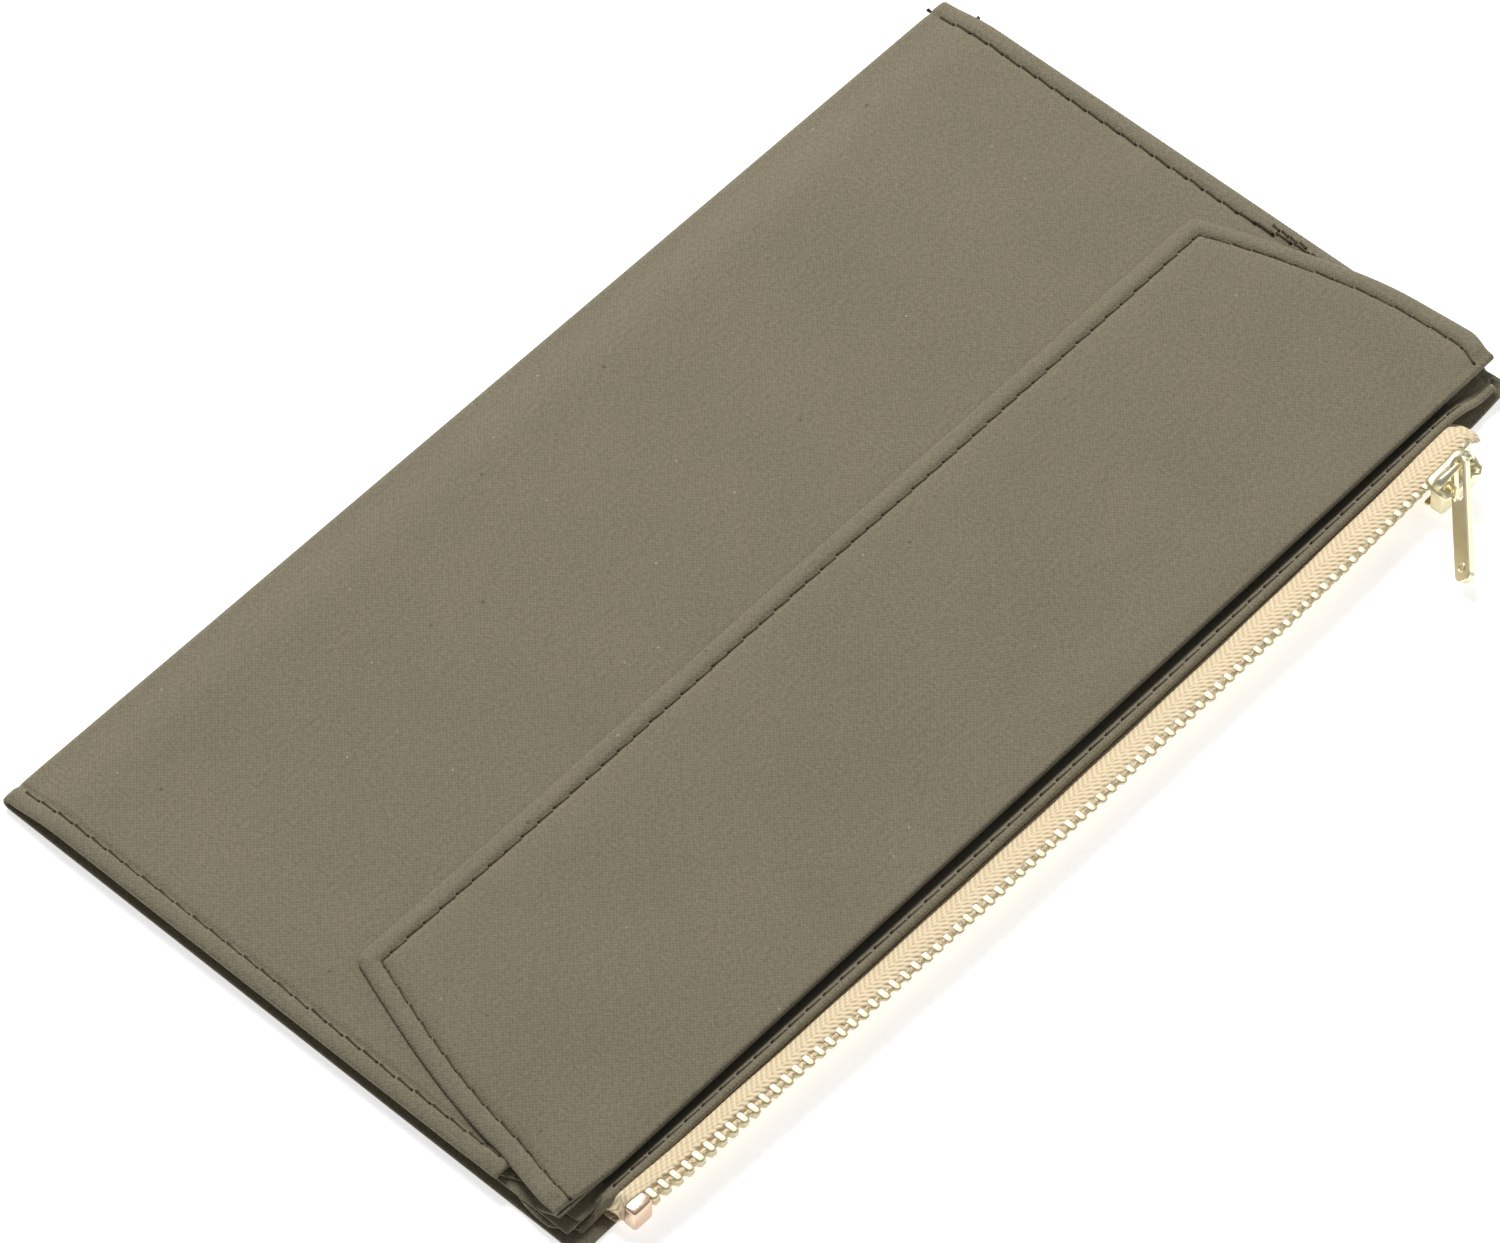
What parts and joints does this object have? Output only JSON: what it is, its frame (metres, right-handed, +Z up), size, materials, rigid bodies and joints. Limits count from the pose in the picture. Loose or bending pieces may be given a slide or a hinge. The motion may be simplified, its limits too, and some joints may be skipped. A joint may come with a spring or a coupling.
{
  "type": "flapped zip money pouch",
  "caption": "Flat cloth envelope pouch with a fold-over flap, a gusseted front pocket, and a second pocket behind it closed by a metal zip along the mouth.",
  "frame": {"origin": "on the underside, midway between the two ends and midway between the bottom fold and the flap fold", "axes": "+Z up with the pouch lying on its back, +X along the long side towards the end where the closed zip's slider stops, +Y from the mouth towards the bottom fold"},
  "size_m": [0.2, 0.1294, 0.0103],
  "materials": {
    "olive_cloth": "fine plain-weave coated cotton, matt",
    "lining_cloth": "thin plain-weave cotton, matt",
    "interlining": "non-woven stiffener",
    "zip_tape": "beige herringbone tape",
    "thread": "dark olive sewing thread",
    "zip_metal": "pale gold plated, polished",
    "stop_metal": "rose gold plated, satin"
  },
  "bodies": {
    "pouch": {"back_panel": "olive_cloth", "back_lining": "lining_cloth", "divider_lining": "lining_cloth", "divider": "olive_cloth", "pocket_lining": "lining_cloth", "gusset_left": "olive_cloth", "gusset_right": "olive_cloth", "zip_tape_front": "zip_tape", "zip_tape_back": "zip_tape", "teeth_front": "zip_metal", "teeth_back": "zip_metal", "bottom_stop": "stop_metal", "top_stop_front": "zip_metal", "top_stop_back": "zip_metal", "thread_zip": "thread"},
    "front": {"front_panel": "olive_cloth", "front_lining": "lining_cloth", "thread_side_left": "thread", "thread_side_right": "thread"},
    "flap": {"flap_outer": "olive_cloth", "flap_interlining": "interlining", "flap_lining": "lining_cloth", "thread_flap": "thread"},
    "slider": {"slider_body": "zip_metal", "slider_bridge": "zip_metal"},
    "pull": {"pull_tab": "zip_metal"}
  },
  "joints": [
    {"name": "flap_fold", "type": "hinge", "parent": "pouch", "child": "flap", "pos_m": [0, -0.0531, 0.00475], "axis": [1, 0, 0], "range_deg": [0, 142]},
    {"name": "front_fold", "type": "hinge", "parent": "pouch", "child": "front", "pos_m": [0, 0.05162, 0.00187], "axis": [-1, 0, 0], "range_deg": [0, 7.9]},
    {"name": "zip_slide", "type": "slide", "parent": "pouch", "child": "slider", "axis": [1, 0, 0], "range_m": [-0.1635, 0]},
    {"name": "pull_swing", "type": "hinge", "parent": "slider", "child": "pull", "pos_m": [0.0792, -0.06414, 0.0081], "axis": [0, 0, 1], "range_deg": [-10, 60]}
  ],
  "couplings": [
    {"joint": "front_fold", "follows": "flap_fold", "ratio": 0.055}
  ]
}
